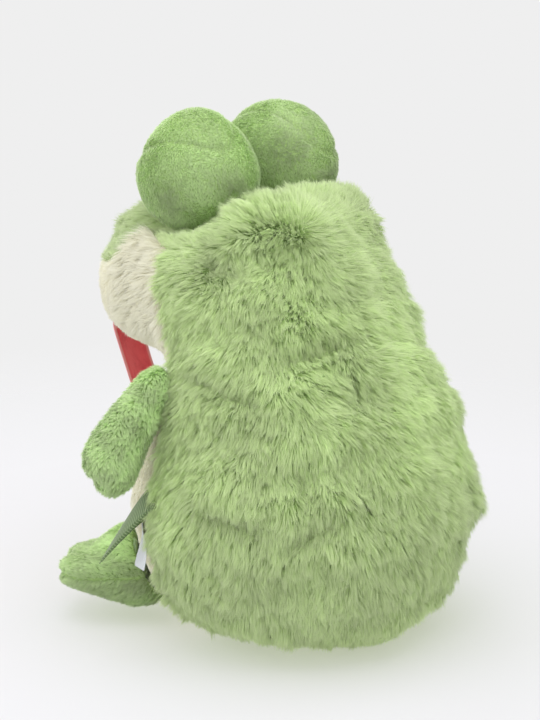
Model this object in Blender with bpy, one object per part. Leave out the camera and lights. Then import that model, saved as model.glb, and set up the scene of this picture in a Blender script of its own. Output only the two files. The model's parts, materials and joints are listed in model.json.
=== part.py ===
"""A seated plush frog, about 28 cm tall.

One bag of pile fabric holds the body, the head and the muzzle. Two stuffed eye domes stand on the head,
two arms and two legs are sewn to the bag, a felt tongue hangs under the lip and two fabric labels stick
out of the left side seam. Metres, +Z up. The face looks along -Y, so the frog's left side is at +X. The
origin is the middle of the flat seat.
"""

import math

import bmesh
import bpy
import numpy as np
from mathutils import Matrix, Vector

# Clearances and fabrics
SEAM_GAP = 0.0003
SHAG_THICKNESS = 0.006
SHORT_PILE_THICKNESS = 0.003
FELT_THICKNESS = 0.0012

# The bag: body and head in one
BAG_HEIGHT = 0.231
BAG_HALF_WIDTH = 0.098
BAG_HALF_DEPTH = 0.090
HEAD_LEAN = 0.040
RIDGE_RISE = 0.012
RIDGE_BACK = -0.006
RIDGE_DEPTH = 0.019
RIDGE_HALF_WIDTH = 0.060
RIDGE_FOOT_DROP = 0.035

# The muzzle that swells out of the bag's front
MUZZLE_HALF_WIDTH = 0.066
MUZZLE_HALF_DEPTH = 0.073
MUZZLE_RISE = 0.047
MUZZLE_DROP = 0.040
MUZZLE_FORWARD = 0.068
MUZZLE_BELOW_CROWN = 0.047

# Seams of the bag. The head's seams are measured down from the crown
SIDE_SEAM_ANGLE = math.radians(17)
LIP_ABOVE_CHIN = 0.0015
CHIN_DEPTH = 0.0085
CHEEK_SEAM_DROP = 0.021
CROWN_SEAM_DROP = 0.008
SNOUT_SEAM_DROP = 0.035

# Pellet pouch in the bottom of the filling
POUCH_RADIUS = 0.032
POUCH_HEIGHT = 0.034

# Eyes, with their middles above the crown
EYE_HALF_WIDTH = 0.0293
EYE_HALF_DEPTH = 0.0356
EYE_HALF_HEIGHT = 0.034
EYE_SIDE = 0.030
LEFT_EYE_FORWARD = 0.056
LEFT_EYE_RISE = 0.0145
RIGHT_EYE_FORWARD = 0.0525
RIGHT_EYE_RISE = 0.016
EYE_TILT = math.radians(15)
LEFT_EYE_TAPER = 0.16
RIGHT_EYE_TAPER = 0.0
LID_SEAM_RISE = 0.0165
EYE_WHITE_RADIUS = 0.0135
PUPIL_RADIUS = 0.0080
PUPIL_THICKNESS = 0.0020

# Arms, sewn on below the crown
ARM_ANGLE = math.radians(-19)
ARM_BELOW_CROWN = 0.081
ARM_ROOT_DEPTH = 0.005
ARM_ROOT_RISE = 0.0125
ARM_REACH_DOWN = 0.0455
HAND_OUTSET = 0.0225
ARM_BOW = 0.005
ARM_HALF_WIDTH = 0.0130
ARM_HALF_THICKNESS = 0.0110
HAND_HALF_WIDTH = 0.0175
HAND_HALF_THICKNESS = 0.0130
FINGER_LENGTH = 0.0045

# Legs
LEG_ANGLE = math.radians(-50)
LEG_ROOT_HEIGHT = 0.028
LEG_ROOT_DEPTH = 0.016
LEG_ROOT_RISE = 0.0215
LEG_LENGTH = 0.069
FOOT_TURN = math.radians(-6)
FOOT_TIP_HEIGHT = 0.0255
LEG_HALF_WIDTH = 0.0230
LEG_HALF_THICKNESS = 0.0235
FOOT_HALF_WIDTH = 0.0270
FOOT_HALF_THICKNESS = 0.0125
TOE_LENGTH = 0.0060

# Tongue
TONGUE_SIDE = 0.012
TONGUE_FORWARD = 0.1345
TONGUE_LENGTH = 0.082
TONGUE_WIDTH = 0.030
TONGUE_SLANT = math.radians(14)

# Labels in the left side seam
LABEL_HEIGHT = 0.084
LABEL_LENGTH = 0.044
LABEL_WIDTH = 0.010
LABEL_THICKNESS = 0.0012
LABEL_DROP = math.radians(53)
LABEL_TURN = math.radians(35)
LABEL_TWIST = math.radians(48)
CARE_LABEL_HEIGHT = 0.086
CARE_LABEL_LENGTH = 0.038
CARE_LABEL_WIDTH = 0.010
CARE_LABEL_OUTSET = 0.0006
CARE_LABEL_THICKNESS = 0.0006

# Profile of the bag from the seat's edge to the crown, as shares of BAG_HEIGHT, BAG_HALF_WIDTH,
# BAG_HALF_DEPTH and HEAD_LEAN, then how square the section is (2 is an ellipse)
bag_profile_shares = [
    (0.000, 0.47, 0.49, 0.10, 2.0),
    (0.013, 0.57, 0.61, 0.10, 2.0),
    (0.043, 0.725, 0.755, 0.11, 2.05),
    (0.095, 0.847, 0.866, 0.12, 2.1),
    (0.173, 0.93, 0.94, 0.13, 2.2),
    (0.294, 1.00, 1.00, 0.14, 2.2),
    (0.411, 0.964, 0.955, 0.14, 2.2),
    (0.537, 0.895, 0.80, 0.15, 2.2),
    (0.636, 0.835, 0.670, 0.20, 2.2),
    (0.758, 0.790, 0.625, 0.50, 2.1),
    (0.823, 0.750, 0.585, 0.62, 2.1),
    (0.883, 0.700, 0.548, 0.73, 2.1),
    (0.935, 0.672, 0.520, 0.80, 2.2),
    (0.970, 0.628, 0.455, 0.88, 2.4),
    (0.991, 0.45, 0.30, 0.95, 2.4),
    (0.998, 0.24, 0.15, 0.99, 2.2),
    (1.000, 0.00, 0.00, 1.00, 2.0),
]

# Where the derived heights of the head are
MUZZLE_HEIGHT = BAG_HEIGHT - MUZZLE_BELOW_CROWN
LIP_HEIGHT = MUZZLE_HEIGHT - MUZZLE_DROP + LIP_ABOVE_CHIN
THROAT_HEIGHT = LIP_HEIGHT - CHIN_DEPTH

# Heights of the rows of facets, as shares of the height of the throat, the muzzle and the crown
wall_row_shares = [0.000, 0.022, 0.073, 0.16, 0.292, 0.496, 0.693, 0.894]
crown_row_shares = [0.12, 0.26, 0.42, 0.58, 0.74, 0.87, 0.96, 0.99]
muzzle_row_shares = [0.14, 0.42, 0.72]
BACK_COLUMNS = 8
FRONT_COLUMNS = 14


def clear_scene():
    for old in list(bpy.data.objects):
        bpy.data.objects.remove(old, do_unlink=True)


def fabric(name, colour, roughness=0.95):
    """A Principled material in the piece's own colour."""
    material = bpy.data.materials.new(name)
    material.use_nodes = True
    shader = material.node_tree.nodes["Principled BSDF"]
    shader.inputs["Base Color"].default_value = (*colour, 1.0)
    shader.inputs["Roughness"].default_value = roughness
    shader.inputs["Metallic"].default_value = 0.0
    material.diffuse_color = (*colour, 1.0)
    return material


def add_solid(name, mesh, material, parent=None):
    """Adds a closed mesh as a named object with its faces turned outward."""
    bmesh.ops.remove_doubles(mesh, verts=mesh.verts, dist=1e-7)
    bmesh.ops.recalc_face_normals(mesh, faces=mesh.faces)
    if mesh.calc_volume(signed=True) < 0:
        bmesh.ops.reverse_faces(mesh, faces=mesh.faces)
    data = bpy.data.meshes.new(name)
    mesh.to_mesh(data)
    mesh.free()
    data.shade_smooth()
    data.set_sharp_from_angle(angle=math.radians(50))
    data.materials.append(material)
    solid = bpy.data.objects.new(name, data)
    bpy.context.scene.collection.objects.link(solid)
    if parent is not None:
        solid.parent = parent
        solid.matrix_parent_inverse = Matrix.Translation(parent.location).inverted()
    return solid


def hide_as_cutter(solid):
    solid.hide_render = True
    solid.display_type = "WIRE"
    return solid


def cut(solid, cutter):
    modifier = solid.modifiers.new("cut", "BOOLEAN")
    modifier.operation = "DIFFERENCE"
    modifier.solver = "EXACT"
    modifier.object = cutter


def pivot(name, place):
    """An empty that stands on a joint's axis and carries the pieces that turn about it."""
    empty = bpy.data.objects.new(name, None)
    empty.location = place
    bpy.context.scene.collection.objects.link(empty)
    return empty


def unit(vector):
    return vector / max(np.linalg.norm(vector), 1e-12)


def normal_of(surface, across, along, pole=None):
    """Outward normal of surface(across, along), from small steps. A pole takes the mean round it."""
    if pole is not None:
        inside = along + pole
        turns = np.linspace(0, 2 * math.pi, 12, endpoint=False)
        return unit(sum(normal_of(surface, turn, inside) for turn in turns))
    step = 1e-4
    by_across = surface(across + step, along) - surface(across - step, along)
    by_along = surface(across, along + step) - surface(across, along - step)
    return unit(np.cross(by_across, by_along))


def grid_of(surface, rows, columns, inset, poles=(False, False)):
    """Points of a surface, moved inward by inset. Each row is a list of along values, one a column."""
    grid = []
    for number, row in enumerate(rows):
        at_pole = (number == 0 and poles[0]) or (number == len(rows) - 1 and poles[1])
        side = (1e-3 if number == 0 else -1e-3) if at_pole else None
        line = []
        for across, along in zip(columns, row):
            line.append(surface(across, along) - inset * normal_of(surface, across, along, side))
        grid.append(line)
    return grid


def grid_faces(mesh, grid, wrap):
    points = [[mesh.verts.new(point) for point in row] for row in grid]
    count = len(points[0])
    last = count if wrap else count - 1
    for low, high in zip(points, points[1:]):
        for here in range(last):
            there = (here + 1) % count
            mesh.faces.new((low[here], low[there], high[there], high[here]))
    return points


def shell(name, outer, inner, wrap, material, parent=None, shift=None):
    """A closed sheet between two grids of points: a panel of fabric with its pile."""
    mesh = bmesh.new()
    outside = grid_faces(mesh, outer, wrap)
    inside = grid_faces(mesh, inner, wrap)
    count = len(outside[0])
    for row in (0, -1):
        for here in range(count if wrap else count - 1):
            there = (here + 1) % count
            mesh.faces.new((outside[row][here], outside[row][there], inside[row][there], inside[row][here]))
    if not wrap:
        for column in (0, -1):
            for low in range(len(outside) - 1):
                mesh.faces.new((
                    outside[low][column], outside[low + 1][column],
                    inside[low + 1][column], inside[low][column],
                ))
    if shift is not None:
        bmesh.ops.translate(mesh, verts=mesh.verts, vec=Vector(shift))
    return add_solid(name, mesh, material, parent)


def filling(name, grid, material, parent=None):
    """A closed lump of filling from a grid that ends in a point at each end."""
    mesh = bmesh.new()
    grid_faces(mesh, grid, True)
    return add_solid(name, mesh, material, parent)


# The bag's surface

def profile_at(level):
    """Height, half width, half depth, lean and squareness at a place along the profile (Catmull-Rom)."""
    table = np.array(bag_profile_shares)
    last = len(table) - 1
    level = min(max(level, 0.0), float(last))
    start = min(int(level), last - 1)
    part = level - start
    before, here = table[max(start - 1, 0)], table[start]
    there, after = table[start + 1], table[min(start + 2, last)]
    tangent_here = (there - before) / 2
    tangent_there = (after - here) / 2
    squared, cubed = part * part, part ** 3
    row = (
        (2 * cubed - 3 * squared + 1) * here + (cubed - 2 * squared + part) * tangent_here
        + (3 * squared - 2 * cubed) * there + (cubed - squared) * tangent_there
    )
    return row * np.array([BAG_HEIGHT, BAG_HALF_WIDTH, BAG_HALF_DEPTH, HEAD_LEAN, 1.0])


LEVELS = np.linspace(0, len(bag_profile_shares) - 1, 40 * len(bag_profile_shares))
LEVEL_HEIGHTS = np.array([profile_at(level)[0] for level in LEVELS])


def level_of(height):
    return float(np.interp(height, LEVEL_HEIGHTS, LEVELS))


def muzzle_reach(angle, height, middle):
    """How far the muzzle reaches from the bag's middle at this angle and height, or zero."""
    above = height - MUZZLE_HEIGHT
    share = abs(above) / (MUZZLE_RISE if above > 0 else MUZZLE_DROP)
    if share >= 1:
        return 0.0
    fullness = 2.5 if above > 0 else 3.0
    size = (1 - share ** fullness) ** (1 / fullness)
    wide, deep = MUZZLE_HALF_WIDTH * size, MUZZLE_HALF_DEPTH * size
    offset = middle + MUZZLE_FORWARD
    along, over = math.cos(angle) / wide, math.sin(angle) / deep
    square = along ** 2 + over ** 2
    half = over * offset / deep
    inside = half ** 2 - square * ((offset / deep) ** 2 - 1)
    if inside <= 0:
        return 0.0
    return max(0.0, (-half + math.sqrt(inside)) / square)


def ridge_lift(across, over, height):
    """How far the pile stands up in a ridge across the back of the crown, behind the eyes."""
    rise = min(1.0, max(0.0, (height - BAG_HEIGHT) / RIDGE_FOOT_DROP + 1))
    round_off = math.exp(-((over - RIDGE_BACK) / RIDGE_DEPTH) ** 2 - (across / RIDGE_HALF_WIDTH) ** 4)
    return RIDGE_RISE * (3 - 2 * rise) * rise ** 2 * round_off


def bag_surface(angle, level):
    """A point on the bag's pile. The angle is measured from the frog's left side (+X)."""
    height, wide, deep, lean, squareness = profile_at(level)
    middle = -lean
    if wide < 1e-6:
        return np.array([0.0, middle, height + ridge_lift(0.0, middle, height)])
    squareness = max(2.0, squareness)
    wall = (abs(math.cos(angle)) / wide) ** squareness + (abs(math.sin(angle)) / max(deep, 1e-6)) ** squareness
    reach = wall ** (-1 / squareness)
    muzzle = muzzle_reach(angle, height, middle)
    if muzzle > 0:
        reach = (reach ** 9 + muzzle ** 9) ** (1 / 9)
    across, over = reach * math.cos(angle), middle + reach * math.sin(angle)
    return np.array([across, over, height + ridge_lift(across, over, height)])


def seam_height(angle):
    """Height of the seam round the head: high at the back of the crown, low across the snout."""
    if math.sin(angle) >= -math.sin(SIDE_SEAM_ANGLE):
        turned = (math.sin(angle) + math.sin(SIDE_SEAM_ANGLE)) / (1 + math.sin(SIDE_SEAM_ANGLE))
        drop = CHEEK_SEAM_DROP + (CROWN_SEAM_DROP - CHEEK_SEAM_DROP) * turned ** 1.5
    else:
        turned = (-math.sin(angle) - math.sin(SIDE_SEAM_ANGLE)) / (1 - math.sin(SIDE_SEAM_ANGLE))
        drop = CHEEK_SEAM_DROP + (SNOUT_SEAM_DROP - CHEEK_SEAM_DROP) * math.sin(turned * math.pi / 2)
    return BAG_HEIGHT - drop


def bag_point(angle, height):
    return bag_surface(angle, level_of(height))


def bag_middle(height):
    return -profile_at(level_of(height))[3]


def bag_normal(angle, height):
    return normal_of(bag_surface, angle, level_of(height))


LEFT_SEAM = -SIDE_SEAM_ANGLE
BACK_SEAM = math.pi / 2
RIGHT_SEAM = math.pi + SIDE_SEAM_ANGLE
left_columns = list(np.linspace(LEFT_SEAM, BACK_SEAM, BACK_COLUMNS + 1))
right_columns = list(np.linspace(BACK_SEAM, RIGHT_SEAM, BACK_COLUMNS + 1))
front_columns = list(np.linspace(RIGHT_SEAM, LEFT_SEAM + 2 * math.pi, FRONT_COLUMNS + 1))
all_columns = left_columns[:-1] + right_columns[:-1] + front_columns[:-1]


def wall_heights(angle):
    """Heights of the facet rows from the seat's edge to the head's seam, at one angle."""
    low = [share * THROAT_HEIGHT for share in wall_row_shares]
    top = seam_height(angle)
    muzzle = [LIP_HEIGHT + share * (top - LIP_HEIGHT) for share in muzzle_row_shares]
    under_lip = (THROAT_HEIGHT + LIP_HEIGHT) / 2
    return low + [THROAT_HEIGHT, under_lip, LIP_HEIGHT] + muzzle + [top]


def crown_heights(angle):
    top = seam_height(angle)
    return [top] + [top + share * (BAG_HEIGHT - top) for share in crown_row_shares] + [BAG_HEIGHT]


THROAT_ROW = len(wall_row_shares)
LIP_ROW = THROAT_ROW + 2


def rows_between(columns, heights_at, first, last, lift_first=0.0, lift_last=0.0):
    """Rows of levels for the columns, with the two end rows moved by a height for a seam's gap."""
    table = [heights_at(angle) for angle in columns]
    last = len(table[0]) - 1 if last is None else last
    rows = []
    for number in range(first, last + 1):
        lift = lift_first if number == first else lift_last if number == last else 0.0
        rows.append([level_of(heights[number] + lift) for heights in table])
    return rows


def inset_ends(columns):
    """Pulls a panel's two side edges in by half a seam gap."""
    edge = SEAM_GAP / 2 / BAG_HALF_DEPTH * 1.6
    return [columns[0] + edge] + columns[1:-1] + [columns[-1] - edge]


def bag_panel(name, columns, first, last, lifts, material):
    columns = inset_ends(columns)
    rows = rows_between(columns, wall_heights, first, last, *lifts)
    outer = grid_of(bag_surface, rows, columns, 0.0)
    inner = grid_of(bag_surface, rows, columns, SHAG_THICKNESS)
    return shell(name, outer, inner, False, material)


SEAT_RING_SHARES = (0.0, 0.55, 1.0)


def seat_grid(columns, inset, edge_gap=0.0):
    """Points of the flat seat, from its middle to its edge, moved up into the bag by inset."""
    grid = []
    centre = np.array([0.0, bag_middle(0.0), 0.0])
    for share in SEAT_RING_SHARES:
        row = []
        for angle in columns:
            edge = bag_surface(angle, 0.0)
            inward = -normal_of(bag_surface, angle, 0.02)
            flat = centre + (edge - centre) * share
            if share == 1.0:
                flat = flat - unit(edge - centre) * edge_gap
                row.append(flat + inset * inward)
            else:
                row.append(flat + np.array([0.0, 0.0, -inset * normal_of(bag_surface, 0.0, 0.02)[2]]))
        grid.append(row)
    return grid


def whole_bag(inset, throat_inset):
    """The bag's closed surface: the seat, the walls and the crown."""
    lower = rows_between(all_columns, wall_heights, 1, THROAT_ROW - 1)
    throat = rows_between(all_columns, wall_heights, THROAT_ROW, LIP_ROW)
    upper = rows_between(all_columns, wall_heights, LIP_ROW + 1, None)
    crown = rows_between(all_columns, crown_heights, 1, None)
    grid = seat_grid(all_columns, inset)
    grid += grid_of(bag_surface, lower, all_columns, inset)
    grid += grid_of(bag_surface, throat, all_columns, throat_inset)
    grid += grid_of(bag_surface, upper, all_columns, inset)
    grid += grid_of(bag_surface, crown, all_columns, inset, poles=(False, True))
    return grid


def build_bag(green, cream, seat_green, white_fill, pellets):
    bag_panel("back_panel_left", left_columns, 0, None, (0.0, -SEAM_GAP / 2), green)
    bag_panel("back_panel_right", right_columns, 0, None, (0.0, -SEAM_GAP / 2), green)
    bag_panel("belly_panel", front_columns, 0, THROAT_ROW, (0.0, -SEAM_GAP / 2), cream)
    bag_panel("chin_panel", front_columns, THROAT_ROW, LIP_ROW, (SEAM_GAP / 2, -SEAM_GAP / 2), cream)
    bag_panel("muzzle_panel", front_columns, LIP_ROW, None, (SEAM_GAP / 2, -SEAM_GAP / 2), cream)

    rows = rows_between(all_columns, crown_heights, 0, None, SEAM_GAP / 2, 0.0)
    outer = grid_of(bag_surface, rows, all_columns, 0.0, poles=(False, True))
    inner = grid_of(bag_surface, rows, all_columns, SHAG_THICKNESS, poles=(False, True))
    shell("crown_panel", outer, inner, True, green)

    outer = seat_grid(all_columns, 0.0, SEAM_GAP)
    inner = seat_grid(all_columns, SHAG_THICKNESS, SEAM_GAP)
    shell("base_panel", outer, inner, True, seat_green)

    stuffing = filling("body_stuffing", whole_bag(SHAG_THICKNESS + SEAM_GAP, 2.2 * SHAG_THICKNESS), white_fill)
    pocket = bmesh.new()
    pouch_floor = SHAG_THICKNESS + SEAM_GAP
    pocket_top = pouch_floor + POUCH_HEIGHT + SEAM_GAP
    bmesh.ops.create_cone(
        pocket, cap_ends=True, segments=20, radius1=POUCH_RADIUS + SEAM_GAP, radius2=POUCH_RADIUS + SEAM_GAP,
        depth=2 * pocket_top,
        matrix=Matrix.Translation((0.0, bag_middle(0.0), 0.0)),
    )
    cut(stuffing, hide_as_cutter(add_solid("pouch_pocket", pocket, white_fill)))

    def pouch_surface(angle, polar):
        radius = POUCH_RADIUS * math.sin(polar) ** 0.5 if 0 < polar < math.pi else 0.0
        height = -math.copysign(abs(math.cos(polar)) ** 0.8, math.cos(polar)) * POUCH_HEIGHT / 2
        middle = pouch_floor + POUCH_HEIGHT / 2 + height
        return np.array([radius * math.cos(angle), bag_middle(0.0) + radius * math.sin(angle), middle])

    polars = [0.0] + [math.pi * step / 8 for step in range(1, 8)] + [math.pi]
    turns = list(np.linspace(0, 2 * math.pi, 20, endpoint=False))
    grid = [[pouch_surface(turn, polar) for turn in turns] for polar in polars]
    filling("pellet_pouch", grid, pellets)

    return hide_as_cutter(filling("bag_cutter", whole_bag(-2 * SEAM_GAP, -2 * SEAM_GAP), white_fill))


# Eyes

def eye_centre(side):
    forward = LEFT_EYE_FORWARD if side > 0 else RIGHT_EYE_FORWARD
    rise = LEFT_EYE_RISE if side > 0 else RIGHT_EYE_RISE
    return np.array([side * EYE_SIDE, -forward, BAG_HEIGHT + rise])


def eye_size(side, direction):
    """Half sizes of the dome toward a direction: the left eye narrows a little above its middle."""
    taper = LEFT_EYE_TAPER if side > 0 else RIGHT_EYE_TAPER
    narrow = 1 - taper * max(0.0, direction[2])
    return np.array([EYE_HALF_WIDTH * narrow, EYE_HALF_DEPTH * narrow, EYE_HALF_HEIGHT])


def eye_surface_for(side):
    """Surface of one eye dome. Its pole leans outward, so the lid covers more of the outer side."""
    centre = eye_centre(side)
    lean = side * EYE_TILT
    pole = np.array([math.sin(lean), 0.0, math.cos(lean)])
    out = np.array([math.cos(lean), 0.0, -math.sin(lean)])
    front = np.cross(out, pole)

    def surface(turn, polar):
        direction = math.cos(polar) * pole + math.sin(polar) * (math.cos(turn) * out + math.sin(turn) * front)
        return centre + direction * eye_size(side, direction)

    return surface


def patch_surface_for(side, toward):
    """Surface of the eye dome round a chosen direction, for what is stuck on the dome's front."""
    centre = eye_centre(side)
    pole = unit(np.array(toward))
    out = unit(np.cross(pole, np.array([0.0, 0.0, 1.0])))
    over = np.cross(out, pole)

    def surface(turn, polar):
        direction = math.cos(polar) * pole + math.sin(polar) * (math.cos(turn) * out + math.sin(turn) * over)
        return centre + direction * eye_size(side, direction)

    return surface


def band(name, surface, polars, turns, outer_lift, thickness, material, pole_first):
    rows = [[polar] * len(turns) for polar in polars]
    outer = grid_of(surface, rows, turns, -outer_lift, poles=(pole_first, False))
    inner = grid_of(surface, rows, turns, thickness - outer_lift, poles=(pole_first, False))
    return shell(name, outer, inner, True, material)


def build_eye(side, word, green, white_fill, white_felt, black, bag_cutter):
    surface = eye_surface_for(side)
    turns = list(np.linspace(0, 2 * math.pi, 20, endpoint=False))
    seam = math.acos(LID_SEAM_RISE / EYE_HALF_HEIGHT)
    half_gap = SEAM_GAP / 2 / EYE_HALF_HEIGHT
    open_end = math.radians(150)
    lid_polars = [0.0] + list(np.linspace(0.3 * seam, seam - half_gap, 4))
    wrap_polars = list(np.linspace(seam + half_gap, open_end, 8))
    band(f"eye_lid_{word}", surface, lid_polars, turns, 0.0, SHORT_PILE_THICKNESS, green, True)
    wrap = band(f"eye_wrap_{word}", surface, wrap_polars, turns, 0.0, SHORT_PILE_THICKNESS, green, False)
    cut(wrap, bag_cutter)
    polars = [0.0] + list(np.linspace(0.3 * seam, seam, 4)) + list(np.linspace(seam, open_end, 8))[1:] + [math.pi]
    rows = [[polar] * len(turns) for polar in polars]
    inset = SHORT_PILE_THICKNESS + SEAM_GAP
    grid = grid_of(surface, rows, turns, inset, poles=(True, True))
    cut(filling(f"eye_stuffing_{word}", grid, white_fill), bag_cutter)

    front = patch_surface_for(side, (side * -0.04, -1.0, 0.04))
    around = list(np.linspace(0, 2 * math.pi, 16, endpoint=False))
    reach = EYE_WHITE_RADIUS / EYE_HALF_HEIGHT
    polars = [0.0, reach * 0.55, reach]
    band(f"eye_white_{word}", front, polars, around, SEAM_GAP + FELT_THICKNESS, FELT_THICKNESS, white_felt, True)
    reach = PUPIL_RADIUS / EYE_HALF_HEIGHT
    polars = [0.0, reach * 0.55, reach]
    lift = 2 * SEAM_GAP + FELT_THICKNESS + PUPIL_THICKNESS
    band(f"pupil_{word}", front, polars, around, lift, PUPIL_THICKNESS, black, True)


# Arms and legs

def round_off(distance, radius):
    """How much of its full size a section has at a distance from a round end."""
    return math.sqrt(max(0.0, 1 - max(0.0, 1 - distance / radius) ** 2))


def limb_surface(frame, path, widths, thicknesses, lobe_length, lobe_from, lobes):
    """A stuffed limb: rings along a path, round at both ends, with soft lobes at the far end.

    frame is (across, flat): the directions of the limb's width and of its thickness.
    """
    across, flat = frame

    def surface(turn, along):
        along = min(max(along, 0.0), 1.0)
        place = path(along)
        ahead = unit(path(min(1.0, along + 0.01)) - path(max(0.0, along - 0.01)))
        wide = np.interp(along, *widths)
        thick = np.interp(along, *thicknesses)
        length = float(np.linalg.norm(path(1.0) - path(0.0)))
        swell = min(round_off(along * length, widths[1][0]), round_off((1 - along) * length, widths[1][-1]))
        plump = min(round_off(along * length, widths[1][0]), round_off((1 - along) * length, thicknesses[1][-1]))
        over = wide * swell * math.cos(turn)
        lobe = lobes(math.cos(turn) * swell) * lobe_length
        push = lobe * min(1.0, max(0.0, (along - lobe_from) / (1 - lobe_from)))
        return place + across * over + flat * (thick * plump * math.sin(turn)) + ahead * push

    return surface


def limb_core(frame, path, widths, thicknesses, lobe_length):
    """The same limb without its lobes, smaller all round by the cloth: the shape of its filling."""
    inset = SHORT_PILE_THICKNESS + 3 * SEAM_GAP
    length = float(np.linalg.norm(path(1.0) - path(0.0)))
    start = inset / length
    end = 1 - (inset + lobe_length) / length

    def core_path(along):
        return path(start + (end - start) * along)

    thinner = [[size - inset for size in table[1]] for table in (widths, thicknesses)]
    return limb_surface(
        frame, core_path, (widths[0], thinner[0]), (thicknesses[0], thinner[1]), 0.0, 0.5, two_toes,
    )


def build_limb(name, words, surface, core, flat, rows, material, second, white_fill, empty, bag_cutter):
    """Two half shells sewn round the edge, and the filling between them, cut by the bag."""
    half = [math.pi * step / 7 for step in range(8)]
    for word, start, sign, cloth in ((words[0], 0.0, 1, material), (words[1], math.pi, -1, second)):
        columns = [start + turn for turn in half]
        table = [[along] * len(columns) for along in rows]
        outer = grid_of(surface, table, columns, 0.0, poles=(True, True))
        inner = grid_of(surface, table, columns, SHORT_PILE_THICKNESS, poles=(True, True))
        shift = flat * sign * SEAM_GAP / 2
        cut(shell(f"{name}_{word}", outer, inner, False, cloth, empty, shift), bag_cutter)
    columns = [math.pi * step / 7 for step in range(14)]
    table = [[along] * len(columns) for along in rows]
    grid = grid_of(core, table, columns, 0.0)
    cut(filling(f"{name}_stuffing", grid, white_fill, empty), bag_cutter)


def mirrored(angle, side):
    return angle if side > 0 else math.pi - angle


def two_fingers(place):
    """Share of the finger's length at a place across the hand: a small thumb and a broad palm lobe."""
    notch = math.exp(-((place - 0.30) / 0.16) ** 2)
    return 0.35 - 1.35 * notch


def two_toes(place):
    notch = math.exp(-(place / 0.20) ** 2)
    return 0.4 - 1.4 * notch


def build_arm(side, word, green, white_fill, bag_cutter):
    angle = mirrored(ARM_ANGLE, side)
    outward = np.array([math.cos(angle), math.sin(angle), 0.0])
    root_height = BAG_HEIGHT - ARM_BELOW_CROWN
    root = bag_point(angle, root_height) - ARM_ROOT_DEPTH * outward
    hand_base = bag_point(angle, root_height - ARM_REACH_DOWN) + HAND_OUTSET * outward
    reach = unit(hand_base - root)
    tip = hand_base + reach * HAND_HALF_WIDTH
    tip = tip - outward * ARM_BOW
    axis = unit(tip - root)
    across = unit(outward - axis * np.dot(outward, axis))
    flat = np.cross(axis, across)

    def path(along):
        return root + (tip - root) * along + across * ARM_BOW * 4 * along * (1 - along)

    widths = ([0.0, 0.35, 0.78, 1.0], [ARM_HALF_WIDTH, ARM_HALF_WIDTH, HAND_HALF_WIDTH, HAND_HALF_WIDTH])
    thicknesses = (
        [0.0, 0.35, 0.78, 1.0],
        [ARM_HALF_THICKNESS, ARM_HALF_THICKNESS, HAND_HALF_THICKNESS, HAND_HALF_THICKNESS],
    )
    surface = limb_surface((across, flat), path, widths, thicknesses, FINGER_LENGTH, 0.62, two_fingers)
    core = limb_core((across, flat), path, widths, thicknesses, FINGER_LENGTH)
    empty = pivot(f"arm_pivot_{word}", bag_point(angle, root_height + ARM_ROOT_RISE))
    rows = [0.0, 0.02, 0.07, 0.16, 0.3, 0.45, 0.6, 0.72, 0.83, 0.91, 0.965, 0.993, 1.0]
    build_limb(
        f"arm_{word}", ("back_half", "front_half"), surface, core, flat, rows, green, green,
        white_fill, empty, bag_cutter,
    )


def build_leg(side, word, green, sole, white_fill, bag_cutter):
    angle = mirrored(LEG_ANGLE, side)
    outward = np.array([math.cos(angle), math.sin(angle), 0.0])
    turned = angle + FOOT_TURN * side
    ahead = np.array([math.cos(turned), math.sin(turned), 0.0])
    root = bag_point(angle, LEG_ROOT_HEIGHT) - LEG_ROOT_DEPTH * outward
    tip = root + ahead * LEG_LENGTH
    tip[2] = FOOT_TIP_HEIGHT
    axis = unit(tip - root)
    across = unit(np.cross(np.array([0.0, 0.0, 1.0]), axis))
    flat = np.cross(axis, across)

    def path(along):
        return root + (tip - root) * along

    widths = ([0.0, 0.35, 0.75, 1.0], [LEG_HALF_WIDTH, LEG_HALF_WIDTH, FOOT_HALF_WIDTH, FOOT_HALF_WIDTH])
    thicknesses = (
        [0.0, 0.40, 0.78, 1.0],
        [LEG_HALF_THICKNESS, LEG_HALF_THICKNESS, FOOT_HALF_THICKNESS, FOOT_HALF_THICKNESS],
    )
    surface = limb_surface((across, flat), path, widths, thicknesses, TOE_LENGTH, 0.6, two_toes)
    core = limb_core((across, flat), path, widths, thicknesses, TOE_LENGTH)
    empty = pivot(f"leg_pivot_{word}", bag_point(angle, LEG_ROOT_HEIGHT + LEG_ROOT_RISE))
    rows = [0.0, 0.03, 0.1, 0.22, 0.38, 0.52, 0.64, 0.75, 0.84, 0.91, 0.965, 0.993, 1.0]
    build_limb(
        f"leg_{word}", ("upper_half", "sole_half"), surface, core, flat, rows, green, sole,
        white_fill, empty, bag_cutter,
    )


# Tongue and labels

def strip(name, stations, side_way, facing, width_at, thickness, lift, material, parent):
    """A flat strip of cloth along a list of (share, place) stations, with a closed edge all round."""
    mesh = bmesh.new()
    sections = []
    for share, place in stations:
        across, out = side_way(share), facing(share)
        half = width_at(share) / 2
        corners = []
        for over, depth in ((-1, 0), (1, 0), (1, 1), (-1, 1)):
            corners.append(mesh.verts.new(place + across * half * over + out * (lift + depth * thickness)))
        sections.append(corners)
    for low, high in zip(sections, sections[1:]):
        for here in range(4):
            there = (here + 1) % 4
            mesh.faces.new((low[here], low[there], high[there], high[here]))
    mesh.faces.new(sections[0])
    mesh.faces.new(sections[-1])
    return add_solid(name, mesh, material, parent)


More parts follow.
